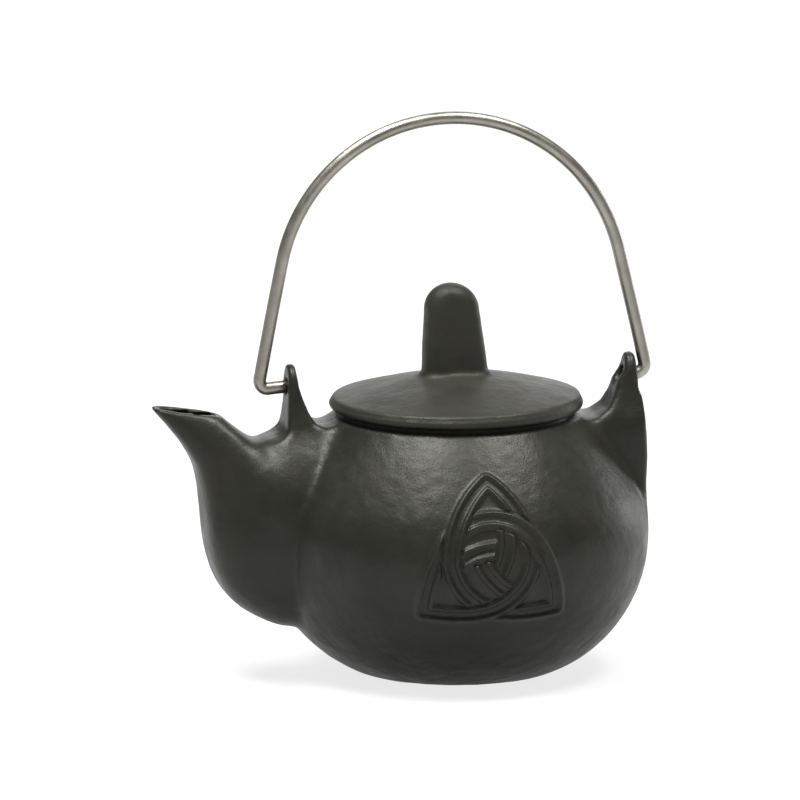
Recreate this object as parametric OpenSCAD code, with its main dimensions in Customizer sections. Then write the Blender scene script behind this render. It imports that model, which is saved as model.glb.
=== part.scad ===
// Small cast iron teapot with a fan-shaped spout, a loose lid and a swinging wire bail.
// The origin is the centre of the flat base. +Z is up, the spout points to -X and the raised
// knot is on the -Y side. All sizes are in millimetres.

/* [Bowl] */
// Widest radius of the bowl
belly_r = 47.8; // [46.5:0.1:48.5]
// Height of the widest ring above the base
belly_z = 34; // [33:0.5:35]
// Radius of the arc below the widest ring
lower_arc_r = 35.9; // [35.5:0.1:38]
// Radius of the arc above the widest ring
upper_arc_r = 24.3; // [22:0.1:26]
// Slope of the shoulder, in degrees from vertical
shoulder_slope = 35; // [33:1:37]
// Height of the rim that the lid rests on
rim_z = 66.2; // [65.8:0.1:66.6]
// Outer radius of that rim
rim_r = 29.6; // [28.5:0.1:30]
// Radius of the mouth
mouth_r = 26; // [25.8:0.1:26.5]
// Thickness of the bowl's wall
wall = 3.8; // [3.2:0.1:4.2]
// Depth of the rim's own wall, below the rim
rim_depth = 4.2; // [3.5:0.1:5]

/* [Spout] */
// Thickness of the spout's wall at its root
spout_wall = 3.4; // [2.8:0.1:3.6]
// Thickness of the spout's wall at its lip
lip_wall = 1.5; // [1.2:0.1:1.6]
// Half the width of the spout at its root
spout_half_w = 18.4; // [17:0.1:19]
// Half the width of the spout at its lip
lip_half_w = 4.5; // [4.3:0.1:5]

/* [Lugs] */
// Height of the bail's axis
pivot_z = 73; // [72.8:0.1:73.2]
// Height of the tops of the lugs
lug_top_z = 78; // [77.8:0.1:78.6]
// Half the width of a lug at the bail's axis
lug_half_w = 4.6; // [4.2:0.1:5]
// Diameter of the holes for the bail
lug_hole_d = 3.8; // [3.6:0.1:4]
// Radius of the curve that widens a lug towards the bowl
lug_flare_r = 14; // [12:0.5:16]

/* [Lid] */
// Outer radius of the lid
lid_r = 31.6; // [31:0.1:32]
// Thickness of the lid at its edge
lid_edge = 2.9; // [2.4:0.1:3.3]
// Rise of the lid from its edge to its middle
lid_rise = 6.5; // [5.5:0.5:7.5]
// Bow of the lid's top, where 1 is a straight cone
lid_bow = 1.35; // [1.1:0.05:1.6]
// Thickness of the lid's plate over the mouth
lid_plate = 3; // [2.5:0.1:3.5]
// Outer radius of the locating ring
ring_r = 25.4; // [25:0.1:25.6]
// Thickness of the locating ring
ring_wall = 3; // [2.5:0.1:3.5]
// Depth of the locating ring below the rim
ring_depth = 5.2; // [4:0.1:6]

/* [Knob] */
// Height of the top of the knob
knob_top_z = 97.6; // [95:0.1:99]
// Width of the knob just above its foot
knob_w = 15.8; // [15:0.1:16.5]
// Width of the knob where its round top begins
knob_top_w = 13.5; // [13:0.1:14.5]
// Thickness of the knob, front to back
knob_t = 9.6; // [9:0.1:10.5]

/* [Bail] */
// Diameter of the bail's wire
wire_d = 3.2; // [3:0.1:3.3]
// Radius of the top of the bail, along the middle of the wire
bail_r = 43.5; // [43:0.1:44]
// Height of the centre of that curve
bail_centre_z = 96; // [95:0.5:98]
// Lean of the legs from vertical, in degrees
leg_lean = 11.25; // [10.5:0.25:11.75]
// Bend radius of the hooked ends, along the middle of the wire
hook_r = 2.4; // [2.2:0.1:2.4]
// How far the bail sits off centre, towards the spout
bail_shift = 0.6; // [0.4:0.1:0.8]

/* [Raised knot] */
// Size of the knot, from its middle to the corner of its band's middle line
knot_reach = 18.5; // [17:0.5:20]
// Height of the knot's middle
knot_z = 35.5; // [34:0.5:37]
// Width of the knot's band
band_w = 4.4; // [3.6:0.1:5]
// How far the band stands out of the bowl
knot_relief = 0.8; // [0.6:0.1:1]

/* [Hidden] */
$fn = 96;

// Steps in an arc of an outline, and in a quarter of one
ARC_STEPS = 10;
CORNER_STEPS = 6;
// How far a cutting shape runs past what it cuts
OVER = 1;

// Bowl
lower_arc_x = belly_r - lower_arc_r;
upper_arc_x = belly_r - upper_arc_r;
base_angle = -asin(belly_z / lower_arc_r);
floor_z = wall + 0.6;
shoulder_top_z = rim_z - 1.6;
// Where the shoulder's straight slope starts, on a profile drawn inset from the outside
function slope_start(inset) =
    [upper_arc_x + (upper_arc_r - inset) * cos(shoulder_slope),
     belly_z + (upper_arc_r - inset) * sin(shoulder_slope)];
// The radius on that slope at a given height
function slope_r(inset, z) =
    slope_start(inset)[0] - (z - slope_start(inset)[1]) * tan(shoulder_slope);

// Spout: the middle of each ring's upper edge and of its lower edge, in the X-Z plane
spout_upper = [[-37, 61.5], [-44, 61], [-48, 60], [-52, 60.6], [-56, 63], [-59.9, 66.3]];
spout_lower = [[-36, 12], [-47.2, 13.6], [-58, 20.8], [-63.8, 32], [-67.2, 54], [-76.5, 68.6]];
// Rings along the spout, and points in each
SPOUT_RINGS = 15;
SPOUT_POINTS = 28;

// Lugs: the face of each one nearest the mouth, its thickness, and, seen from above, half the
// width of its foot and the roundness of the foot's corners
lug_foot_half_w = 9;
spout_lug_inner_x = -40;
spout_lug_t = 3.1;
rear_lug_inner_x = 42.1;
rear_lug_t = 3.4;
lug_ledge_z = 63.2;
spout_lug_corner_r = 8;
rear_lug_corner_r = 3.5;
// Where each lug's root is buried in the bowl's wall
lug_root_x = 32;
lug_root_z = 55;

// Points around the knob
KNOB_POINTS = 28;

// Bail: how much thicker a straight run is than a bend, and how far it reaches into one
RUN_EXTRA = 0.04;
RUN_LAP = 0.1;
leg_top = [bail_r * cos(leg_lean), bail_centre_z + bail_r * sin(leg_lean)];
hook_z = pivot_z + hook_r;
leg_bottom_z = hook_z + hook_r * sin(leg_lean);
leg_bottom_x = leg_top[0] + (leg_top[1] - leg_bottom_z) * tan(leg_lean);
hook_x = leg_bottom_x - hook_r * cos(leg_lean);

// Points along an arc in the plane of an outline
function arc(x, z, r, from, to, steps = ARC_STEPS) =
    [for (i = [0:steps]) [x + r * cos(from + (to - from) * i / steps),
                          z + r * sin(from + (to - from) * i / steps)]];

// A point at t, from 0 to 1, on a smooth curve through the given points
function spline(points, t) =
    let (last = len(points) - 1,
         i = min(floor(t * last), last - 1),
         s = t * last - i,
         before = points[max(i - 1, 0)],
         a = points[i],
         b = points[i + 1],
         after = points[min(i + 2, last)],
         leaving = (b - before) / 2,
         arriving = (after - a) / 2)
    a * (2 * s * s * s - 3 * s * s + 1) + leaving * (s * s * s - 2 * s * s + s)
    + b * (3 * s * s - 2 * s * s * s) + arriving * (s * s * s - s * s);

// Skins a solid over rings that all have the same number of points
module skin(rings) {
    count = len(rings[0]);
    last = len(rings) - 1;
    polyhedron(
        points = [for (ring = rings) each ring],
        faces = [
            [for (i = [0:count - 1]) i],
            [for (i = [0:count - 1]) last * count + count - 1 - i],
            for (k = [0:last - 1]) for (i = [0:count - 1])
                let (j = (i + 1) % count, here = k * count, next = here + count)
                each [[here + i, next + i, next + j], [here + i, next + j, here + j]]
        ],
        convexity = 6);
}

// The bowl's profile, inset by a wall: from the floor up to the rim
function bowl_profile(inset, start_angle) = concat(
    arc(lower_arc_x, belly_z, lower_arc_r - inset, start_angle, 0, 2 * ARC_STEPS),
    arc(upper_arc_x, belly_z, upper_arc_r - inset, 0, shoulder_slope));

module bowl_outside() {
    rotate_extrude()
        polygon(concat(
            [[0, 0]],
            bowl_profile(0, base_angle),
            [[slope_r(0, shoulder_top_z - 1.5), shoulder_top_z - 1.5],
             [slope_r(0, shoulder_top_z) - 0.6, shoulder_top_z - 0.3],
             [rim_r + 0.5, shoulder_top_z + 0.4],
             [rim_r, shoulder_top_z + 1],
             [rim_r, rim_z],
             [0, rim_z]]));
}

module bowl_inside() {
    floor_angle = -asin((belly_z - floor_z) / (lower_arc_r - wall));
    rotate_extrude()
        polygon(concat(
            [[0, floor_z]],
            bowl_profile(wall, floor_angle),
            [[slope_r(wall, rim_z - rim_depth), rim_z - rim_depth],
             [mouth_r, rim_z - rim_depth],
             [mouth_r, rim_z + OVER],
             [0, rim_z + OVER]]));
}

// One ring of the spout, an oval across the line between its two edges
function spout_ring(t, inset) =
    let (upper = spline(spout_upper, t),
         lower = spline(spout_lower, t),
         middle = (upper + lower) / 2,
         half = (lower - upper) / 2,
         half_h = norm(half) - inset,
         along = half / norm(half),
         half_w = lip_half_w + (spout_half_w - lip_half_w) * pow(cos(90 * t), 1.15) - inset)
    [for (i = [0:SPOUT_POINTS - 1])
        let (turn = 360 * i / SPOUT_POINTS,
             across = sign(sin(turn)) * pow(abs(sin(turn)), 0.92))
        [middle[0] + along[0] * half_h * cos(turn),
         -half_w * across,
         middle[1] + along[1] * half_h * cos(turn)]];

module spout_outside() {
    skin([for (k = [0:SPOUT_RINGS]) spout_ring(k / SPOUT_RINGS, 0)]);
}

// The channel runs on past the lip, so that it opens cleanly
module spout_channel() {
    rings = [for (k = [0:SPOUT_RINGS])
        spout_ring(k / SPOUT_RINGS, spout_wall + (lip_wall - spout_wall) * k / SPOUT_RINGS)];
    past = [for (p = rings[SPOUT_RINGS]) p + [-2, 0, 4]];
    inside = [for (p = rings[0]) p + [6, 0, 0]];
    skin(concat([inside], rings, [past]));
}

// A lug is its side outline, trimmed to a front outline that is round on top and flared below,
// and to a foot that, seen from above, has round corners on the side away from the mouth
module lug(side_outline, foot_x, corner_r) {
    half_w = lug_foot_half_w;
    flare_x = lug_half_w + lug_flare_r;
    flare_angle = acos((flare_x - half_w - OVER) / lug_flare_r);
    outward = sign(foot_x);
    intersection() {
        rotate([90, 0, 0])
            linear_extrude(height = 3 * half_w, center = true)
                polygon(side_outline);
        rotate([90, 0, 90])
            linear_extrude(height = 4 * belly_r, center = true)
                polygon(concat(
                    arc(0, lug_top_z - lug_half_w, lug_half_w, 0, 180),
                    arc(-flare_x, pivot_z, lug_flare_r, 0, -flare_angle),
                    [[-half_w - OVER, 0], [half_w + OVER, 0]],
                    arc(flare_x, pivot_z, lug_flare_r, 180 + flare_angle, 180)));
        linear_extrude(height = lug_top_z + OVER)
            polygon(concat(
                [[0, -half_w]],
                [for (p = concat(
                    arc(-corner_r, corner_r - half_w, corner_r, -90, 0, CORNER_STEPS),
                    arc(-corner_r, half_w - corner_r, corner_r, 0, 90, CORNER_STEPS)))
                    [foot_x + outward * p[0], p[1]]],
                [[0, half_w]]));
    }
}

// The spout's lug: hollow-curved towards the mouth, with a fillet down to the spout outside
module spout_lug() {
    inner_x = spout_lug_inner_x;
    outer_x = inner_x - spout_lug_t;
    tip_r = spout_lug_t / 2;
    hollow_r = 12;
    fillet_r = 5;
    foot_x = outer_x - fillet_r - 1.2;
    foot_z = lug_ledge_z + 1.8;
    lug(concat(
        [[-lug_root_x, lug_root_z], [-lug_root_x, lug_ledge_z - 1]],
        arc(inner_x + hollow_r - 0.4, lug_ledge_z + hollow_r - 1.6, hollow_r, 240, 183),
        arc(inner_x - tip_r, lug_top_z - tip_r, tip_r, 0, 180, CORNER_STEPS),
        [[outer_x - 0.6, foot_z + 3]],
        arc(foot_x, foot_z, fillet_r, 0, -90, CORNER_STEPS),
        [[foot_x, lug_root_z - 1], [inner_x - 2, lug_root_z - 5]]), foot_x, spout_lug_corner_r);
}

// The rear lug: thicker below the hole, with an outer face that stands straight up from the belly
module rear_lug() {
    buttress_x = belly_r + 0.2;
    inner_x = rear_lug_inner_x;
    outer_x = inner_x + rear_lug_t;
    tip_r = rear_lug_t / 2;
    hollow_r = 10.8;
    lug(concat(
        [[inner_x - 2.1, belly_z], [lug_root_x, lug_root_z], [lug_root_x, lug_ledge_z - 1]],
        arc(inner_x - 1.5 - hollow_r, lug_ledge_z + 10.4, hollow_r, -62, -12),
        [[inner_x, pivot_z + 1.4]],
        arc(inner_x + tip_r, lug_top_z - tip_r, tip_r, 180, 0, CORNER_STEPS),
        [[outer_x, pivot_z - 3], [buttress_x - 0.5, pivot_z - 5.4], [buttress_x, pivot_z - 9],
         [buttress_x, belly_z], [belly_r - 1.5, belly_z - 8]]), buttress_x, rear_lug_corner_r);
}

module lug_holes() {
    reach = belly_r + OVER;
    translate([-reach, 0, pivot_z])
        rotate([0, 90, 0])
            cylinder(h = 2 * reach, d = lug_hole_d);
}

// The knot's band follows three half circles, which meet in pairs at the three corners. It is
// trimmed to the shape of the bowl, a little outside it.
module raised_knot() {
    centre = knot_reach / 2;
    r = centre * sqrt(3);
    trim_low_z = 2;
    trim_high_z = 60;
    for (turn = [0:120:240])
        intersection() {
            translate([0, -(belly_r - 2 * wall), knot_z])
                rotate([90, 0, 0])
                    rotate(turn)
                        translate([0, -centre, 0])
                            rotate_extrude(angle = 180)
                                translate([r - band_w / 2, 0])
                                    square([band_w, 3 * wall]);
            rotate_extrude()
                polygon(concat(
                    [[0, trim_low_z]],
                    bowl_profile(-knot_relief, base_angle + 2),
                    [[slope_r(-knot_relief, trim_high_z), trim_high_z], [0, trim_high_z]]));
        }
}

module pot() {
    color("#2d2d2b")
        difference() {
            union() {
                bowl_outside();
                spout_outside();
                spout_lug();
                rear_lug();
                raised_knot();
            }
            bowl_inside();
            spout_channel();
            lug_holes();
        }
}

// Height of the lid's top at a given radius
function lid_top(r) = rim_z + lid_edge + lid_rise * (1 - pow(r / lid_r, lid_bow));

module lid_plate() {
    inside_r = ring_r - ring_wall;
    edge_round = 0.8;
    rotate_extrude()
        polygon(concat(
            [[0, lid_top(0) - lid_plate],
             [inside_r, rim_z + 0.6],
             [inside_r, rim_z - ring_depth],
             [ring_r, rim_z - ring_depth],
             [ring_r, rim_z],
             [lid_r - edge_round, rim_z]],
            arc(lid_r - edge_round, rim_z + edge_round, edge_round, -90, 0, 3),
            [for (i = [0:ARC_STEPS])
                let (r = (lid_r - edge_round * (i == 0 ? 0 : 1)) * (1 - i / ARC_STEPS))
                [r, lid_top(r)]]));
}

// One level of the knob: an oval
function knob_ring(z, half_w, half_t) =
    [for (i = [0:KNOB_POINTS - 1]) let (turn = 360 * i / KNOB_POINTS)
        [half_w * sign(cos(turn)) * pow(abs(cos(turn)), 0.85),
         half_t * sign(sin(turn)) * pow(abs(sin(turn)), 0.85), z]];

module knob() {
    cap_r = knob_top_w / 2;
    cap_z = knob_top_z - cap_r;
    foot_z = lid_top(8);
    foot_flare = 2;
    foot_depth = 2.5;
    skin(concat(
        [knob_ring(foot_z - foot_depth, knob_w / 2 + foot_flare, knob_t / 2 + foot_flare),
         knob_ring(foot_z - 0.3, knob_w / 2 + foot_flare, knob_t / 2 + foot_flare),
         knob_ring(foot_z + 0.5, knob_w / 2 + 0.7, knob_t / 2 + 0.7),
         knob_ring(foot_z + 1.8, knob_w / 2, knob_t / 2)],
        [for (i = [0:CORNER_STEPS])
            let (turn = 84 * i / CORNER_STEPS)
            knob_ring(cap_z + cap_r * sin(turn), cap_r * cos(turn), knob_t / 2 * pow(cos(turn), 0.8))]));
}

module lid() {
    color("#3c3c38")
        union() {
            lid_plate();
            knob();
        }
}

// A bend of the bail's wire in the X-Z plane, about a centre, between two angles
module wire_bend(x, z, r, from, to) {
    translate([x, 0, z])
        rotate([90, 0, 0])
            rotate([0, 0, from])
                rotate_extrude(angle = to - from)
                    translate([r, 0])
                        circle(d = wire_d);
}

// A straight length of wire between two points in the X-Z plane. It is a hair thicker than the
// bends and runs a little way into them, so that each joint is a clean edge.
module wire_run(from, to) {
    run = to - from;
    translate([from[0], 0, from[1]])
        rotate([0, atan2(run[0], run[1]), 0])
            translate([0, 0, -RUN_LAP])
                cylinder(h = norm(run) + 2 * RUN_LAP, d = wire_d + RUN_EXTRA);
}

// One leg, from the top curve down, hooked inwards to an end at the given place
module leg(end_x) {
    wire_run(leg_top, [leg_bottom_x, leg_bottom_z]);
    wire_bend(hook_x, hook_z, hook_r, -90, leg_lean);
    wire_run([end_x, pivot_z], [hook_x, pivot_z]);
}

module bail() {
    color("#8f8b81")
        translate([-bail_shift, 0, 0])
            union() {
                wire_bend(0, bail_centre_z, bail_r, leg_lean, 180 - leg_lean);
                leg(rear_lug_inner_x + bail_shift + RUN_LAP);
                mirror([1, 0, 0])
                    leg(-spout_lug_inner_x - bail_shift + RUN_LAP);
            }
}

pot();
lid();
bail();
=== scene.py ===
"""Cast iron teapot: the visible pot, lid and bail, their materials, and a plain studio.

Outlines are in millimetres, in the CAD's frame, and become metres when a mesh is made. The pot and
the lid are solids described by signed distances: negative inside, positive outside. Such solids
can be joined and cut with the soft fillets of a sand casting.
"""

import math

import bmesh
import bpy
import numpy as np
import openvdb as vdb
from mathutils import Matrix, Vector


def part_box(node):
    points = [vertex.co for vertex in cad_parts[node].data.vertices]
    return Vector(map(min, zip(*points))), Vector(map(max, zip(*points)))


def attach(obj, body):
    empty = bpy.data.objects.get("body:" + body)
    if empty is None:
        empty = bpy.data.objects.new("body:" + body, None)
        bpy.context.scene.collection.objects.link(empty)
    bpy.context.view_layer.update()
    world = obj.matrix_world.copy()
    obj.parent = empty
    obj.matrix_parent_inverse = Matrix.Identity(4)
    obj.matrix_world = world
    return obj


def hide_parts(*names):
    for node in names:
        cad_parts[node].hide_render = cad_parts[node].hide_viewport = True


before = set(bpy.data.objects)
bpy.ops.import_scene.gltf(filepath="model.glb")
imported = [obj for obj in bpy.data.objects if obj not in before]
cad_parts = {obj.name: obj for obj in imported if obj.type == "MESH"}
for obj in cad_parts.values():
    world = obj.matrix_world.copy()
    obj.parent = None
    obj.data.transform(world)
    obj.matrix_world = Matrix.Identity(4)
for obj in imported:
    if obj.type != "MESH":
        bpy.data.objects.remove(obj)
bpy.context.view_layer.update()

MM = 0.001
POT_LO, POT_HI = [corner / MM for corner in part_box("pot")]
LID_LO, LID_HI = [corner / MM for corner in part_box("lid")]
BAIL_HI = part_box("bail")[1] / MM

# Bowl
BELLY_R = POT_HI.y
BELLY_Z = 34.0
LOWER_ARC_R = 35.9
UPPER_ARC_R = 24.3
SHOULDER_START = 31
SHOULDER_END = 41
SHOULDER_ARC_R = 107.0
RIM_Z = 66.2
RIM_R = 29.6
MOUTH_R = 26.0
WALL = 3.8
RIM_DEPTH = 4.2
FOOT_ROUND = 0.9
RIM_COLLAR = 1.9
FLOOR_EXTRA = 0.6

# Spout: its upper and its lower edge in the X-Z plane, from the root to the lip
TIP_X = POT_LO.x - 0.7
SPOUT_UPPER = [(-37, 61.5), (-44, 60.4), (-48, 59.7), (-52, 60.4), (-56, 63.1), (-59.9, 66.3)]
SPOUT_LOWER = [(-36, 12), (-47.2, 13.6), (-58, 20.8), (-63.0, 32), (-66.5, 54), (TIP_X, 68.9)]
SPOUT_HALF_W = 18.4
LIP_HALF_W = 4.5
SPOUT_WALL = 3.4
LIP_WALL = 2.0
SPOUT_ROOT_X = -34.0

# Lugs. A foot is half its width, and how far below the bail's axis it becomes as wide as that.
PIVOT_Z = 73.0
LUG_TOP_Z = POT_HI.z + 0.8
LUG_HALF_W = 4.6
LUG_HOLE_R = 1.9
LUG_LEDGE_Z = 63.2
SPOUT_LUG_FOOT = (12.0, 24.0)
REAR_LUG_FOOT = (9.0, 15.0)
SPOUT_LUG_X = -40.0
SPOUT_LUG_T = 3.1
SPOUT_LUG_FOOT_OUT = 5.0
SPOUT_LUG_CORNER_R = 9.0
SADDLE_Z = 64.0
SADDLE_R = 4.6
REAR_LUG_X = 42.1
REAR_LUG_T = 3.4
REAR_LUG_CORNER_R = 3.5
LUG_HOLES_FROM_X = 30.0

# Fillets where two shapes of a casting meet, and its rounded edges
SPOUT_FILLET = 1.5
SPOUT_LUG_FILLET = 4.0
REAR_LUG_FILLET = 3.0
KNOB_FILLET = 1.8
LUG_ROUND = 1.2
SPOUT_LUG_FOOT_ROUND = 2.0
SPOUT_ROOT_ROUND = 0.5
MOUTH_ROUND = 0.7
HOLE_ROUND = 0.4
EDGE_ROUND = 0.3
KNOB_ROUND = 5.0

# Lid
LID_R = LID_HI.x
LID_EDGE = 2.8
LID_RISE = 6.4
LID_BOW = 1.35
LID_PLATE = 3.0
RING_R = 25.4
RING_WALL = 3.0
RING_BOTTOM_Z = LID_LO.z
KNOB_TOP_Z = LID_HI.z
KNOB_HALF_W = 8.3
KNOB_TOP_HALF_W = 6.9
KNOB_HALF_T = 4.8
KNOB_LEAN = 0.05
KNOB_SHIFT = 0.35
LID_TILT = 0.01

# Bail
WIRE_R = 1.6
WIRE_BEVEL = 0.35
BAIL_R = 43.5
LEG_LEAN = math.radians(11.25)
HOOK_R = 2.4
BAIL_SHIFT = 0.6

# How the bail strays from that even shape, because it was bent by hand
BAIL_SAG = 0.4
BAIL_LEAN = 1.1
SPOUT_LEG_OUT = 0.7
HOOK_DROP = 0.9

# Raised knot on the front
KNOT_Z = 36.0
KNOT_WIDE = 19.0
KNOT_HIGH = 20.6
KNOT_BAND = 4.5
KNOT_RAIL = 1.55
KNOT_RELIEF = 1.0
KNOT_WEB = 0.22

# Size of the cells that the solids are worked out on, and the empty space around each solid
POT_STEP = 0.8
LID_STEP = 0.5
MARGIN = 3

# How far the skin of each casting waves in and out
POT_WAVE = 0.06
LID_WAVE = 0.04

# Height in metres below which painted shade darkens the iron and turns its reflection down, towards
# the foot
SHADED_FOOT_TOP = 0.03


# ---------------------------------------------------------------- outlines and distances


def arc(x, z, r, start, end, steps=16):
    """Points along an arc between two angles in degrees."""
    turns = np.radians(np.linspace(start, end, steps + 1))
    return [(x + r * math.cos(a), z + r * math.sin(a)) for a in turns]


def outline_distance(outline, px, pz):
    """Signed distance from each place to a closed outline in a plane."""
    best = np.full(px.shape, np.inf)
    inside = np.zeros(px.shape, bool)
    for (ax, az), (bx, bz) in zip(outline, outline[1:] + outline[:1]):
        ex, ez = bx - ax, bz - az
        wx, wz = px - ax, pz - az
        share = np.clip((wx * ex + wz * ez) / max(ex * ex + ez * ez, 1e-12), 0, 1)
        best = np.minimum(best, (wx - share * ex) ** 2 + (wz - share * ez) ** 2)
        if az != bz:
            inside ^= ((az > pz) != (bz > pz)) & (wx < ex * wz / ez)
    return np.where(inside, -1, 1) * np.sqrt(best)


def join(a, b, fillet):
    """Both solids, with a fillet where they meet."""
    blend = np.maximum(fillet - np.abs(a - b), 0) / fillet
    return np.minimum(a, b) - blend * blend * fillet / 4


def common(a, b, rounding):
    """What is inside both solids, with rounded edges."""
    return -join(-a, -b, rounding)


def cut(solid, hole, rounding):
    """The solid without the hole, with rounded edges."""
    return common(solid, -hole, rounding)


class Cells:
    """A block of cubic cells, and the places of their corners."""

    def __init__(self, lo, hi, step):
        self.step = step
        self.axes = [np.arange(a, b + step, step) for a, b in zip(lo, hi)]
        self.x, self.y, self.z = np.meshgrid(*self.axes, indexing="ij", sparse=True)
        self.r = np.hypot(self.x, self.y)[:, :, 0]

    def turned(self, outline):
        """The solid made by turning an r-z outline about Z."""
        r_axis = np.arange(0, self.r.max() + self.step, self.step / 3)
        table = outline_distance(outline, *np.meshgrid(r_axis, self.axes[2], indexing="ij"))
        slices = [np.interp(self.r, r_axis, table[:, k]) for k in range(len(self.axes[2]))]
        return np.stack(slices, axis=2)

    def side(self, outline):
        """An x-z outline, endless along Y."""
        x, z = np.meshgrid(self.axes[0], self.axes[2], indexing="ij")
        return outline_distance(outline, x, z)[:, None, :]

    def front(self, outline):
        """A y-z outline, endless along X."""
        y, z = np.meshgrid(self.axes[1], self.axes[2], indexing="ij")
        return outline_distance(outline, y, z)[None, :, :]

    def skin(self, distance):
        """Corner places and quads of the solid's surface, facing outwards."""
        grid = vdb.FloatGrid()
        grid.copyFromArray(np.clip(distance, -4, 4).astype(np.float32))
        points, quads = grid.convertToQuads(isovalue=0.0)
        origin = np.array([axis[0] for axis in self.axes])
        points = points.astype(float) * self.step + origin
        for _ in range(2):
            value, slope = self.sample(distance, points)
            points -= slope * (value / np.maximum((slope**2).sum(axis=1), 0.2))[:, None] * 0.9
        a, b, c = (points[quads[:, i]] for i in range(3))
        if np.einsum("ij,ij->", np.cross(b - a, c - a), a) < 0:
            quads = quads[:, ::-1]
        return points, quads

    def sample(self, distance, points):
        """The distance and its slope at each point, between the cells' corners."""
        origin = np.array([axis[0] for axis in self.axes])
        place = (points - origin) / self.step
        cell = np.clip(place.astype(int), 0, np.array(distance.shape) - 2)
        part = place - cell
        value = np.zeros(len(points))
        slope = np.zeros((len(points), 3))
        for corner in np.ndindex(2, 2, 2):
            weights = np.where(corner, part, 1 - part)
            here = distance[tuple((cell + corner).T)]
            value += here * weights.prod(axis=1)
            for k in range(3):
                others = np.delete(weights, k, axis=1).prod(axis=1)
                slope[:, k] += here * others * (1 if corner[k] else -1)
        return value, slope / self.step


def waves(points, size, seed):
    """Smooth seeded noise between about -1 and 1, from a few sine waves in random directions."""
    random = np.random.default_rng(seed)
    total = np.zeros(len(points))
    for _ in range(12):
        direction = random.normal(size=3)
        direction *= random.uniform(0.6, 1.5) * math.tau / size / np.linalg.norm(direction)
        total += np.sin(points @ direction + random.uniform(0, math.tau))
    return total / math.sqrt(12)


# ---------------------------------------------------------------- the pot


def bowl_profile(inset, start_angle):
    """The bowl's side from its foot to its shoulder, as three arcs, inset by a wall."""
    lower = arc(BELLY_R - LOWER_ARC_R, BELLY_Z, LOWER_ARC_R - inset, start_angle, 0, 40)
    upper = arc(BELLY_R - UPPER_ARC_R, BELLY_Z, UPPER_ARC_R - inset, 0, SHOULDER_START, 20)
    a = math.radians(SHOULDER_START)
    centre_r = BELLY_R - UPPER_ARC_R + (UPPER_ARC_R - SHOULDER_ARC_R) * math.cos(a)
    centre_z = BELLY_Z + (UPPER_ARC_R - SHOULDER_ARC_R) * math.sin(a)
    last = SHOULDER_ARC_R - inset
    shoulder = arc(centre_r, centre_z, last, SHOULDER_START, SHOULDER_END, 20)
    return lower + upper[1:] + shoulder[1:]


def shoulder_r(inset, z):
    """The radius of the straight slope that ends the shoulder, at a height."""
    r, start_z = bowl_profile(inset, -10)[-1]
    return r - (z - start_z) * math.tan(math.radians(SHOULDER_END))


def bowl_outline():
    """The outside of the bowl, in r and z, with the upright rim that carries the lid."""
    base_angle = -math.degrees(math.asin(BELLY_Z / LOWER_ARC_R))
    side = bowl_profile(0, base_angle)
    shoulder_z = RIM_Z - RIM_COLLAR
    return (
        [(-10, 0), (side[0][0] - FOOT_ROUND, 0)]
        + [(side[0][0] - 0.1, FOOT_ROUND * 0.35)]
        + side[1:]
        + [(shoulder_r(0, shoulder_z), shoulder_z), (RIM_R + 0.3, shoulder_z + 0.5)]
        + [(RIM_R, shoulder_z + 1), (RIM_R, RIM_Z), (-10, RIM_Z)]
    )


def cavity_outline():
    """The inside of the bowl, in r and z, open through the mouth."""
    floor_z = WALL + FLOOR_EXTRA
    start = -math.degrees(math.asin((BELLY_Z - floor_z) / (LOWER_ARC_R - WALL)))
    rim_low_z = RIM_Z - RIM_DEPTH
    return (
        [(-10, floor_z)]
        + bowl_profile(WALL, start)
        + [(shoulder_r(WALL, rim_low_z), rim_low_z), (MOUTH_R, rim_low_z)]
        + [(MOUTH_R, RIM_Z + 9), (-10, RIM_Z + 9)]
    )


def spline(points, t):
    """A point on a smooth curve through the points. It runs on straight past either end."""
    points = np.asarray(points, float)
    last = len(points) - 1
    if t < 0:
        return points[0] + (points[1] - points[0]) * t * last
    if t > 1:
        return points[-1] + (points[-1] - points[-2]) * (t - 1) * last
    i = min(int(t * last), last - 1)
    s = t * last - i
    before, a, b, after = points[max(i - 1, 0)], points[i], points[i + 1], points[min(i + 2, last)]
    leaving, arriving = (b - before) / 2, (after - a) / 2
    return (
        a * (2 * s**3 - 3 * s**2 + 1)
        + leaving * (s**3 - 2 * s**2 + s)
        + b * (3 * s**2 - 2 * s**3)
        + arriving * (s**3 - s**2)
    )


def spout_place(x, z):
    """For places in the X-Z plane: how far along the spout, and how far across, from -1 to 1."""
    along = np.full(x.shape, -1.0)
    across = np.full(x.shape, 9.0)
    half_height = np.ones(x.shape)
    last = None
    for t in np.linspace(-0.3, 1.4, 240):
        upper, lower = spline(SPOUT_UPPER, t), spline(SPOUT_LOWER, t)
        middle, half = (upper + lower) / 2, (lower - upper) / 2
        length = np.linalg.norm(half)
        dx, dz = half / length
        off = (x - middle[0]) * dz - (z - middle[1]) * dx
        s = ((x - middle[0]) * dx + (z - middle[1]) * dz) / length
        if last is not None:
            share = last[0] / np.where(last[0] == off, 1, last[0] - off)
            here = last[1] + (s - last[1]) * share
            nearer = (last[0] * off <= 0) & (np.abs(here) < np.abs(across))
            across = np.where(nearer, here, across)
            along = np.where(nearer, last[2] + (t - last[2]) * share, along)
            half_height = np.where(nearer, length, half_height)
        last = off, s, t
    return along, across, half_height


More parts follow.
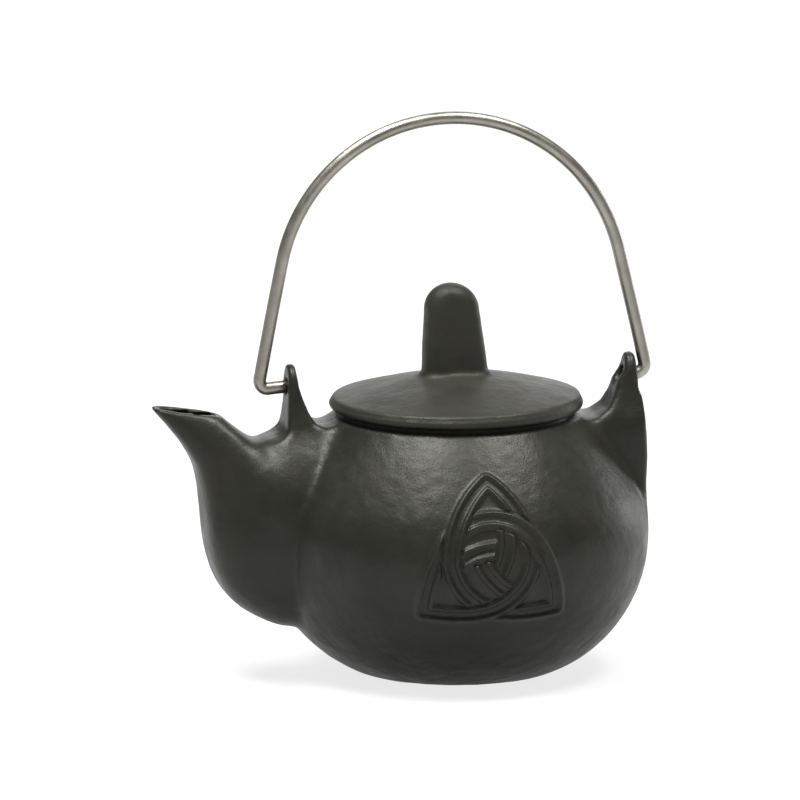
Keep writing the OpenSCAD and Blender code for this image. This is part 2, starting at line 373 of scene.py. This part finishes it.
def spout_solid(cells, inset_root, inset_lip):
    """The spout, or with insets its channel, as an oval that narrows to the lip."""
    x, z = np.meshgrid(cells.axes[0], cells.axes[2], indexing="ij")
    along, across, half_height = spout_place(x, z)
    t = np.clip(along, 0, 1)
    inset = inset_root + (inset_lip - inset_root) * t
    half_w = LIP_HALF_W + (SPOUT_HALF_W - LIP_HALF_W) * np.cos(t * math.pi / 2) ** 1.15 - inset
    across = across * half_height / np.maximum(half_height - inset, 0.5)
    power = (2.1 + 1.4 * t)[:, None, :]
    up_and_down = np.abs(across)[:, None, :] ** power
    oval = (up_and_down + np.abs(cells.y / half_w[:, None, :]) ** power) ** (1 / power) - 1
    slopes = np.gradient(oval, cells.step)
    steepness = np.sqrt(sum(slope**2 for slope in slopes))
    distance = oval / np.maximum(steepness, 0.01)
    return common(distance, cells.x - SPOUT_ROOT_X, SPOUT_ROOT_ROUND)


def lip_plane(cells):
    """Everything below the plane of the spout's mouth."""
    (x0, z0), (x1, z1) = SPOUT_UPPER[-1], SPOUT_LOWER[-1]
    length = math.hypot(x1 - x0, z1 - z0)
    return ((cells.z - z0) * (x0 - x1) + (cells.x - x0) * (z1 - z0)) / length


def lug_front(foot):
    """A lug seen from the spout: a blunt point on top, flared to the upright sides of its foot."""
    foot_half_w, high = foot
    side = [(1.3, LUG_TOP_Z), (3.1, LUG_TOP_Z - 1.6), (4.3, LUG_TOP_Z - 3.9)]
    for z in np.linspace(PIVOT_Z, PIVOT_Z - high, 16):
        flare = float(smooth_step(PIVOT_Z, PIVOT_Z - high, z))
        side.append((LUG_HALF_W + (foot_half_w - LUG_HALF_W) * flare, z))
    side.append((foot_half_w, 0))
    return side + [(-y, z) for y, z in side[::-1]]


def lug_foot(cells, foot_x, half_w, corner_r):
    """Seen from above, a foot with round corners on the side away from the mouth."""
    dx = cells.x * math.copysign(1, foot_x) - (abs(foot_x) - corner_r)
    dy = np.abs(cells.y) - (half_w - corner_r)
    past_corner = np.hypot(np.maximum(dx, 0), np.maximum(dy, 0))
    return past_corner + np.minimum(np.maximum(dx, dy), 0) - corner_r


def spout_lug(cells):
    """The lug behind the spout: an upright blade over a wide foot on the spout's back."""
    outer_x = SPOUT_LUG_X - SPOUT_LUG_T
    foot_x = outer_x - SPOUT_LUG_FOOT_OUT
    side = (
        [(-30, 55), (-30, LUG_LEDGE_Z - 1), (-34.5, LUG_LEDGE_Z - 0.2), (-36.5, LUG_LEDGE_Z + 1)]
        + [(-38.1, LUG_LEDGE_Z + 3.6), (-39.4, LUG_LEDGE_Z + 6.8), (-40.3, PIVOT_Z)]
        + arc(outer_x + 1.3, LUG_TOP_Z - 1, 1, 0, 180, 8)
        + [(outer_x, PIVOT_Z), (outer_x, 69)]
        + arc(foot_x, SADDLE_Z, SADDLE_R, 0, -90)
        + [(foot_x, 54), (-42, 50)]
    )
    blade = common(cells.side(side), cells.front(lug_front(SPOUT_LUG_FOOT)), LUG_ROUND)
    foot = lug_foot(cells, foot_x, SPOUT_LUG_FOOT[0], SPOUT_LUG_CORNER_R)
    return common(blade, foot, SPOUT_LUG_FOOT_ROUND)


def rear_lug(cells):
    """The lug at the rear: a blade that runs down the bowl's side and fades into it."""
    outer_x = REAR_LUG_X + REAR_LUG_T
    tip_x = REAR_LUG_X + REAR_LUG_T / 2
    side = (
        [(38, BELLY_Z), (32, 55), (32, LUG_LEDGE_Z - 1), (35, LUG_LEDGE_Z + 0.3)]
        + [(37.6, LUG_LEDGE_Z + 2.2), (39.4, LUG_LEDGE_Z + 5.5), (40.2, PIVOT_Z - 1.5)]
        + [(REAR_LUG_X - 0.1, PIVOT_Z + 1.4)]
        + arc(tip_x, LUG_TOP_Z - 1.3, 1.3, 180, 0, 8)
        + [(outer_x, 70), (BELLY_R - 1.4, 67.6), (BELLY_R - 1.0, 63), (BELLY_R - 0.3, 53)]
        + [(BELLY_R - 0.8, 44), (BELLY_R - 3, BELLY_Z), (BELLY_R - 7, BELLY_Z - 6)]
    )
    blade = common(cells.side(side), cells.front(lug_front(REAR_LUG_FOOT)), LUG_ROUND)
    foot = lug_foot(cells, BELLY_R, REAR_LUG_FOOT[0], REAR_LUG_CORNER_R)
    return common(blade, foot, LUG_ROUND)


def pot_distance(cells):
    """The whole casting as one solid."""
    bowl = cells.turned(bowl_outline())
    spout = common(spout_solid(cells, 0, 0), lip_plane(cells), EDGE_ROUND)
    solid = join(bowl, spout, SPOUT_FILLET)
    solid = join(solid, spout_lug(cells), SPOUT_LUG_FILLET)
    solid = join(solid, rear_lug(cells), REAR_LUG_FILLET)
    solid = common(solid, -cells.z, EDGE_ROUND)
    solid = cut(solid, cells.turned(cavity_outline()), MOUTH_ROUND)
    solid = cut(solid, spout_solid(cells, SPOUT_WALL, LIP_WALL), HOLE_ROUND)
    hole = np.hypot(cells.y, cells.z - PIVOT_Z) - LUG_HOLE_R
    lugs_only = np.maximum(hole, LUG_HOLES_FROM_X - np.abs(cells.x))
    return cut(solid, lugs_only, HOLE_ROUND)


# ---------------------------------------------------------------- the raised knot


def turned_about_middle(points, degrees):
    """Flat points turned about the knot's middle."""
    a = math.radians(degrees)
    turn = np.array([[math.cos(a), math.sin(a)], [-math.sin(a), math.cos(a)]])
    return points @ turn


def knot_arch(across, half_w, up, high, start, end, count):
    """Part of an upright oval about a place across and up from the knot's middle."""
    a = np.radians(np.linspace(start, end, count))
    return np.stack([across + half_w * np.cos(a), up + high * np.sin(a)], axis=1)


def knot_curves():
    """The knot's bands as curves about its middle, each with how high it lies along its length.

    The three big arches meet in pairs at the corners, which are a distance of 1 from the middle.
    Three smaller ones cross inside them. Each big arch passes over the first big one that it
    meets and under the second. Each small one starts under another small one and ends under a
    big one.
    """
    big = knot_arch(0, 0.866, -0.5, 1.015, 0, 180, 121)
    small = knot_arch(0.08, 0.75, -0.36, 0.5, 80, 140, 81)
    curves = []
    for shape, level, fall in ((big, 2, -0.5), (small, 0, 0.5)):
        for turn in (0, 120, 240):
            across, up = turned_about_middle(shape, turn).T
            narrowing = 1 - 0.25 * np.maximum(up, 0) * (turn != 0)
            up = up - 0.2 * np.abs(across) ** 3
            curve = np.stack([across * KNOT_WIDE * narrowing, up * KNOT_HIGH], axis=1)
            curves.append((curve, level + np.linspace(-fall, fall, len(curve))))
    return curves


def nearest(curve, heights, places):
    """How far each place is from a curve, how high the curve lies there, and whether it ends."""
    a, b = curve[:-1], curve[1:]
    step = b - a
    offset = places[:, None, :] - a[None, :, :]
    share = np.clip((offset * step).sum(axis=2) / (step * step).sum(axis=1), 0, 1)
    gap = np.linalg.norm(offset - share[:, :, None] * step, axis=2)
    closest = gap.argmin(axis=1)
    at_end = np.abs(closest / len(step) - 0.5) > 0.32
    return gap[np.arange(len(places)), closest], heights[closest], at_end


def smooth_step(start, end, value):
    """Rises smoothly from 0 at the start to 1 at the end."""
    share = np.clip((value - start) / (end - start), 0, 1)
    return share * share * (3 - 2 * share)


def knot_height(places):
    """How far the knot stands out of the bowl at each place on the flattened front."""
    near = [nearest(curve, heights, places) for curve, heights in knot_curves()]
    total = np.zeros(len(places))
    rail_middle = (KNOT_BAND - KNOT_RAIL) / 2
    for i, (gap, level, at_end) in enumerate(near):
        rail = np.exp(-(((gap - rail_middle) / (KNOT_RAIL * 0.5)) ** 2))
        web = KNOT_WEB * (1 - smooth_step(rail_middle - 0.2, rail_middle + 0.4, gap))
        height = np.maximum(rail, web)
        for j, (other_gap, other_level, other_end) in enumerate(near):
            if i == j:
                continue
            corner = at_end & other_end & (abs(level - other_level) < 1.2)
            clear = smooth_step(KNOT_BAND / 2 + 0.1, KNOT_BAND / 2 + 0.7, other_gap)
            height = np.where(~corner & (other_level > level), height * clear, height)
            height = np.where(corner & (other_gap < gap), 0, height)
        total = np.maximum(total, height)
    return total * KNOT_RELIEF


def bowl_side():
    """The bowl's side in r and z, from near the foot up to the rim."""
    return np.array(bowl_profile(0, -70) + [(RIM_R, RIM_Z)])


def front_places(points):
    """Each point's place on the bowl's flattened front, across and up from the knot's middle."""
    side = bowl_side()
    length = np.concatenate([[0], np.cumsum(np.linalg.norm(np.diff(side, axis=0), axis=1))])
    up = np.interp(points[:, 2], side[:, 1], length) - np.interp(KNOT_Z, side[:, 1], length)
    return np.stack([points[:, 0], up], axis=1)


def on_front(points):
    """Whether each point lies on the part of the bowl's outside that carries the knot."""
    side = bowl_side()
    x, y, z = points.T
    outside = np.hypot(x, y) > np.interp(z, side[:, 1], side[:, 0]) - 1
    low_z = KNOT_Z - KNOT_HIGH
    high_z = KNOT_Z + KNOT_HIGH + KNOT_BAND
    return outside & (y < 0) & (np.abs(x) < KNOT_WIDE + KNOT_BAND) & (z > low_z) & (z < high_z)


def raise_knot(mesh):
    """Divides the bowl's front finely and raises the knot on it."""
    bm = bmesh.new()
    bm.from_mesh(mesh)
    chosen = on_front(np.array([v.co / MM for v in bm.verts]))
    faces = [f for f in bm.faces if all(chosen[v.index] for v in f.verts)]
    edges = list({e for f in faces for e in f.edges})
    bmesh.ops.subdivide_edges(bm, edges=edges, cuts=2, use_grid_fill=True)
    bm.normal_update()
    points = np.array([v.co / MM for v in bm.verts])
    chosen = np.flatnonzero(on_front(points))
    bm.verts.ensure_lookup_table()
    for index, height in zip(chosen, knot_height(front_places(points[chosen]))):
        vert = bm.verts[index]
        vert.co += vert.normal * float(height) * MM
    bm.to_mesh(mesh)
    bm.free()


# ---------------------------------------------------------------- the lid


def lid_top(r):
    """The height of the lid's domed top at a radius."""
    return RIM_Z + LID_EDGE + LID_RISE * (1 - (r / LID_R) ** LID_BOW)


def lid_outline():
    """The plate and the locating ring, in r and z."""
    inside_r = RING_R - RING_WALL
    top = [(r, lid_top(r)) for r in np.linspace(LID_R - 0.9, 0, 30)]
    return (
        [(-10, lid_top(0) - LID_PLATE), (0, lid_top(0) - LID_PLATE)]
        + [(inside_r, RIM_Z + 0.6), (inside_r, RING_BOTTOM_Z), (RING_R, RING_BOTTOM_Z)]
        + [(RING_R, RIM_Z), (LID_R - 0.7, RIM_Z)]
        + arc(LID_R - 1.1, RIM_Z + 1.1, 1.1, -50, 55, 8)
        + top
        + [(-10, lid_top(0))]
    )


def knob_outline():
    """The knob seen from the front: tall, with a round top, and leaning a little to the spout."""
    foot_z = lid_top(0)
    upright = (
        [(-KNOB_HALF_W, foot_z - 4), (KNOB_HALF_W, foot_z - 4)]
        + [(KNOB_HALF_W, foot_z), (KNOB_HALF_W - 0.5, foot_z + 6.5)]
        + arc(0, KNOB_TOP_Z - KNOB_TOP_HALF_W, KNOB_TOP_HALF_W, 0, 180, 24)
        + [(-KNOB_HALF_W + 0.5, foot_z + 6.5), (-KNOB_HALF_W, foot_z)]
    )
    return [(x - KNOB_SHIFT - KNOB_LEAN * (z - foot_z), z) for x, z in upright]


def lid_distance(cells):
    """The plate, the ring and the knob as one solid."""
    plate = cells.turned(lid_outline())
    slab = np.abs(cells.y) - KNOB_HALF_T
    knob = common(cells.side(knob_outline()), slab, KNOB_ROUND)
    return join(plate, knob, KNOB_FILLET)


# ---------------------------------------------------------------- the bail


def bail_path():
    """The middle of the wire, in x and z, from the end by the spout to the end at the rear."""
    centre_z = BAIL_HI.z - WIRE_R - BAIL_R - BAIL_SAG
    lean = math.degrees(LEG_LEAN)
    top = arc(0, centre_z, BAIL_R, lean, 180 - lean, 90)
    leg_x, leg_z = top[0]
    hook_z = PIVOT_Z + HOOK_R
    bend_z = hook_z + HOOK_R * math.sin(LEG_LEAN)
    bend_x = leg_x + (leg_z - bend_z) * math.tan(LEG_LEAN)
    hook_x = bend_x - HOOK_R * math.cos(LEG_LEAN)
    shares = np.linspace(0, 1, 9)
    leg = [(leg_x + (bend_x - leg_x) * s, leg_z + (bend_z - leg_z) * s) for s in shares]
    hook = arc(hook_x, hook_z, HOOK_R, lean, -90, 12)
    rear_end = [(REAR_LUG_X + BAIL_SHIFT + 0.3, PIVOT_Z)]
    spout_end = [(SPOUT_LUG_X + BAIL_SHIFT - 0.3, PIVOT_Z)]
    rear_side = leg[1:] + hook[1:] + rear_end
    spout_side = [(-x, z) for x, z in leg[1:] + hook[1:]] + spout_end
    path = spout_side[::-1] + top[::-1] + rear_side
    return [hand_bent(x - BAIL_SHIFT, z) for x, z in path]


def hand_bent(x, z):
    """Moves a place on the wire a little, as a wire bent by hand is never quite even."""
    high = smooth_step(PIVOT_Z, BAIL_HI.z - BAIL_R / 2, z)
    spout_side = smooth_step(0, SPOUT_LUG_X, x)
    out_of_hole = smooth_step(SPOUT_LUG_X - SPOUT_LUG_T, SPOUT_LUG_X - 9, x)
    low = 1 - smooth_step(PIVOT_Z, PIVOT_Z + 25, z)
    x -= BAIL_LEAN * high * (1 - spout_side) + SPOUT_LEG_OUT * spout_side
    return x, z - HOOK_DROP * out_of_hole * low


def tube_faces(rings, count):
    """The faces of a closed tube whose points come ring by ring, with count points in each."""
    faces = []
    for start in range(0, (rings - 1) * count, count):
        for i in range(count):
            after = (i + 1) % count
            faces.append((start + i, start + after, start + count + after, start + count + i))
    faces.append(tuple(range(count))[::-1])
    faces.append(tuple((rings - 1) * count + i for i in range(count)))
    return faces


def bail_mesh():
    """A round wire along the path, with a small bevel on its two cut ends."""
    path = np.array(bail_path())
    middle = np.stack([path[:, 0], np.zeros(len(path)), path[:, 1]], axis=1)
    along = np.gradient(middle, axis=0)
    along /= np.linalg.norm(along, axis=1)[:, None]
    across = np.array([0.0, 1.0, 0.0])
    out = np.cross(along, across)
    turns = np.linspace(0, math.tau, 24, endpoint=False)
    rings = []
    for centre, side in zip(middle, out):
        ring = [centre + WIRE_R * (math.cos(a) * across + math.sin(a) * side) for a in turns]
        rings.append(ring)
    for end, inward in ((0, 1), (-1, -1)):
        centre = middle[end]
        face = [centre + (p - centre) * (1 - WIRE_BEVEL / WIRE_R) for p in rings[end]]
        rings[end] = [p + along[end] * WIRE_BEVEL * inward for p in rings[end]]
        rings.insert(0 if end == 0 else len(rings), face)
    return [p for ring in rings for p in ring], tube_faces(len(rings), len(turns))


# ---------------------------------------------------------------- meshes


def make_object(name, points, faces, material):
    """A smooth-shaded object from places in millimetres."""
    mesh = bpy.data.meshes.new(name)
    mesh.from_pydata((np.asarray(points) * MM).tolist(), [], np.asarray(faces, dtype=object).tolist())
    mesh.validate()
    mesh.materials.append(material)
    mesh.shade_smooth()
    obj = bpy.data.objects.new(name, mesh)
    bpy.context.scene.collection.objects.link(obj)
    return obj


def cast(points, slope, amount, seed):
    """Points moved in and out along the slope a little, like the surface of a sand casting."""
    slope = slope / np.maximum(np.linalg.norm(slope, axis=1), 0.01)[:, None]
    bumps = 0.65 * waves(points, 11, seed) + 0.35 * waves(points, 4.5, seed + 1)
    return points + slope * (bumps * amount)[:, None]


def make_pot(material):
    lo = (POT_LO.x - MARGIN, -BELLY_R - MARGIN, -MARGIN)
    hi = (BELLY_R + MARGIN, BELLY_R + MARGIN, LUG_TOP_Z + MARGIN)
    cells = Cells(lo, hi, POT_STEP)
    distance = pot_distance(cells)
    points, quads = cells.skin(distance)
    points = cast(points, cells.sample(distance, points)[1], POT_WAVE, seed=3)
    points[:, 2] = np.maximum(points[:, 2], 0)
    pot = make_object("pot_casting", points, quads, material)
    raise_knot(pot.data)
    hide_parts("pot")
    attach(pot, "pot")


def make_lid(material):
    lo = (-LID_R - MARGIN, -LID_R - MARGIN, RING_BOTTOM_Z - MARGIN)
    hi = (LID_R + MARGIN, LID_R + MARGIN, KNOB_TOP_Z + MARGIN)
    cells = Cells(lo, hi, LID_STEP)
    distance = lid_distance(cells)
    points, quads = cells.skin(distance)
    points = cast(points, cells.sample(distance, points)[1], LID_WAVE, seed=8)
    points[:, 2] += LID_TILT * points[:, 0] * smooth_step(RIM_Z, RIM_Z + LID_EDGE, points[:, 2])
    lid = make_object("lid_casting", points, quads, material)
    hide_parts("lid")
    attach(lid, "lid")


def make_bail(material):
    points, faces = bail_mesh()
    bail = make_object("bail_wire", points, faces, material)
    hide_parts("bail")
    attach(bail, "bail")


# ---------------------------------------------------------------- materials


class Shader:
    """A material under construction, with short calls for its nodes."""

    def __init__(self, name):
        self.material = bpy.data.materials.new(name)
        self.material.use_nodes = True
        self.nodes = self.material.node_tree.nodes
        self.links = self.material.node_tree.links
        self.surface = self.nodes["Principled BSDF"]
        self.place = self.nodes.new("ShaderNodeTexCoord").outputs["Object"]

    def put(self, socket, value):
        """Sets a socket of the surface, from a number or from a node's output."""
        if isinstance(value, bpy.types.NodeSocket):
            self.links.new(value, self.surface.inputs[socket])
        else:
            self.surface.inputs[socket].default_value = value

    def noise(self, scale, detail=4.0, roughness=0.55):
        """Noise through the material, from about 0 to 1."""
        node = self.nodes.new("ShaderNodeTexNoise")
        node.inputs["Scale"].default_value = scale
        node.inputs["Detail"].default_value = detail
        node.inputs["Roughness"].default_value = roughness
        self.links.new(self.place, node.inputs["Vector"])
        return node.outputs["Fac"]

    def height(self, top):
        """How high above the base a place is, from 0 at the base to 1 at the given height."""
        split = self.nodes.new("ShaderNodeSeparateXYZ")
        self.links.new(self.place, split.inputs["Vector"])
        node = self.nodes.new("ShaderNodeMapRange")
        node.inputs["From Max"].default_value = top
        self.links.new(split.outputs["Z"], node.inputs["Value"])
        return node.outputs["Result"]

    def ramp(self, fac, low, high):
        """Maps a factor between two (position, value) stops. A value is a number or a colour."""
        node = self.nodes.new("ShaderNodeValToRGB")
        for element, (position, value) in zip(node.color_ramp.elements, (low, high)):
            element.position = position
            colour = value if isinstance(value, tuple) else (value, value, value)
            element.color = (*colour, 1)
        self.links.new(fac, node.inputs["Fac"])
        return node.outputs["Color"]

    def multiply(self, a, b):
        """The product of two colours."""
        node = self.nodes.new("ShaderNodeMix")
        node.data_type = "RGBA"
        node.blend_type = "MULTIPLY"
        node.inputs["Factor"].default_value = 1
        self.links.new(a, node.inputs["A"])
        self.links.new(b, node.inputs["B"])
        return node.outputs["Result"]

    def bump(self, height, distance, strength, under=None):
        """A bump of a height and a depth in metres, on top of another bump if one is given."""
        node = self.nodes.new("ShaderNodeBump")
        node.inputs["Distance"].default_value = distance
        node.inputs["Strength"].default_value = strength
        self.links.new(height, node.inputs["Height"])
        if under is not None:
            self.links.new(under, node.inputs["Normal"])
        return node.outputs["Normal"]


def cast_iron(name, dark, light, smooth, rough, grain):
    """Seasoned cast iron: warm black, a little patchy, with a fine sand grain, and painted shade that
    darkens it and turns its reflection down towards the foot.
    """
    shader = Shader(name)
    patches = shader.ramp(shader.noise(70, 3, 0.5), (0.3, dark), (0.7, light))
    # Painted shade: the colour darkens towards the base, to 0.3 of itself at the floor.
    foot = shader.ramp(shader.height(SHADED_FOOT_TOP), (0.0, 0.3), (0.9, 1.0))
    shader.put("Base Color", shader.multiply(patches, foot))
    shader.put("Roughness", shader.ramp(shader.noise(160, 5, 0.6), (0.3, smooth), (0.72, rough)))
    # With the painted shade, the reflection is turned down towards the base as well.
    gloss = shader.ramp(shader.height(SHADED_FOOT_TOP), (0.0, 0.02), (0.9, 0.27))
    shader.put("Specular IOR Level", gloss)
    shader.put("Specular Tint", (1.0, 0.99, 0.93, 1))
    coarse = shader.bump(shader.noise(420, 3, 0.5), 0.0003, grain)
    shader.put("Normal", shader.bump(shader.noise(1900, 2, 0.6), 0.0001, grain, coarse))
    return shader.material


def bare_wire():
    """Bare steel wire, drawn, then dulled by handling."""
    dull, bright = (0.27, 0.255, 0.22), (0.38, 0.36, 0.315)
    shader = Shader("bail_steel")
    shader.put("Metallic", 1.0)
    shader.put("Base Color", shader.ramp(shader.noise(120, 4), (0.3, dull), (0.7, bright)))
    shader.put("Roughness", shader.ramp(shader.noise(300, 4), (0.3, 0.3), (0.7, 0.46)))
    shader.put("Normal", shader.bump(shader.noise(1500, 2), 0.00005, 0.4))
    return shader.material


# ---------------------------------------------------------------- studio and camera


def make_floor():
    """A pale paper floor. Its faint glow stands for the overexposed sweep of a studio."""
    half, below = 30.0, 0.0002
    corners = [(-half, -half), (half, -half), (half, half), (-half, half)]
    mesh = bpy.data.meshes.new("floor")
    mesh.from_pydata([(x, y, -below) for x, y in corners], [], [(0, 1, 2, 3)])
    paper = Shader("floor_paper")
    paper.put("Base Color", (0.2, 0.2, 0.2, 1))
    paper.put("Roughness", 0.95)
    paper.put("Specular IOR Level", 0.1)
    paper.put("Emission Color", (1, 1, 1, 1))
    paper.put("Emission Strength", 0.79)
    mesh.materials.append(paper.material)
    floor = bpy.data.objects.new("floor", mesh)
    bpy.context.scene.collection.objects.link(floor)


def direction(azimuth, elevation):
    """The way from the teapot to a place, from two angles in degrees. Azimuth 0 is at -Y."""
    a, e = math.radians(azimuth), math.radians(elevation)
    return Vector((math.sin(a) * math.cos(e), -math.cos(a) * math.cos(e), math.sin(e)))


def soft_box(name, azimuth, elevation, distance, size, power, target):
    """A soft light, aimed at the target."""
    light = bpy.data.lights.new(name, "AREA")
    light.shape = "RECTANGLE"
    light.size, light.size_y = size
    light.energy = power
    away = direction(azimuth, elevation)
    lamp = bpy.data.objects.new(name, light)
    lamp.location = target + away * distance
    lamp.rotation_euler = away.to_track_quat("Z", "Y").to_euler()
    bpy.context.scene.collection.objects.link(lamp)


def make_world(brightness):
    """Dim light from all around. The camera itself sees it as white as the floor."""
    world = bpy.data.worlds.new("studio")
    world.use_nodes = True
    nodes, links = world.node_tree.nodes, world.node_tree.links
    path = nodes.new("ShaderNodeLightPath")
    strength = nodes.new("ShaderNodeMath")
    strength.operation = "MAXIMUM"
    strength.inputs[1].default_value = brightness
    links.new(path.outputs["Is Camera Ray"], strength.inputs[0])
    links.new(strength.outputs["Value"], nodes["Background"].inputs["Strength"])
    nodes["Background"].inputs["Color"].default_value = (1, 1, 1, 1)
    bpy.context.scene.world = world


def make_camera(target_x, target_z):
    """A long lens at the height and the side that shows the teapot as it is usually seen."""
    azimuth, elevation, distance, frame_width = -11, 10.8, 9.0, 0.199
    right = Vector((math.cos(math.radians(azimuth)), math.sin(math.radians(azimuth)), 0))
    away = direction(azimuth, elevation)
    target = right * target_x + away.cross(right) * target_z
    camera = bpy.data.cameras.new("camera")
    camera.lens = camera.sensor_width * distance / frame_width
    obj = bpy.data.objects.new("camera", camera)
    obj.location = target + away * distance
    obj.rotation_euler = away.to_track_quat("Z", "Y").to_euler()
    bpy.context.scene.collection.objects.link(obj)
    bpy.context.scene.camera = obj


def make_studio():
    """Four soft boxes, a dim world, a pale floor and the camera."""
    bpy.context.scene.view_settings.view_transform = "Standard"
    make_world(0.21)
    make_floor()
    middle = Vector((0, 0, RIM_Z * MM))
    soft_box("soft_box_left", -75, 71, 1.2, (0.85, 0.3), 22, middle)
    soft_box("soft_box_right", 64, 66, 1.2, (0.42, 0.3), 12.5, middle)
    soft_box("soft_box_side", 121, 7, 1.6, (0.4, 0.5), 3.4, middle)
    soft_box("soft_box_back", 165, 14, 2.2, (1.5, 1.5), 10.5, middle)
    make_camera(-0.0139, 0.0666)


body_dark, body_light = (0.0125, 0.0125, 0.0095), (0.021, 0.0205, 0.0155)
# Painted light: the lid's iron is the body's iron made lighter, for the brighter look its domed top
# has in the light.
lid_dark, lid_light = (0.018, 0.018, 0.014), (0.029, 0.028, 0.022)
make_pot(cast_iron("body_iron", body_dark, body_light, smooth=0.34, rough=0.46, grain=0.4))
make_lid(cast_iron("lid_iron", lid_dark, lid_light, smooth=0.42, rough=0.55, grain=0.6))
make_bail(bare_wire())
make_studio()
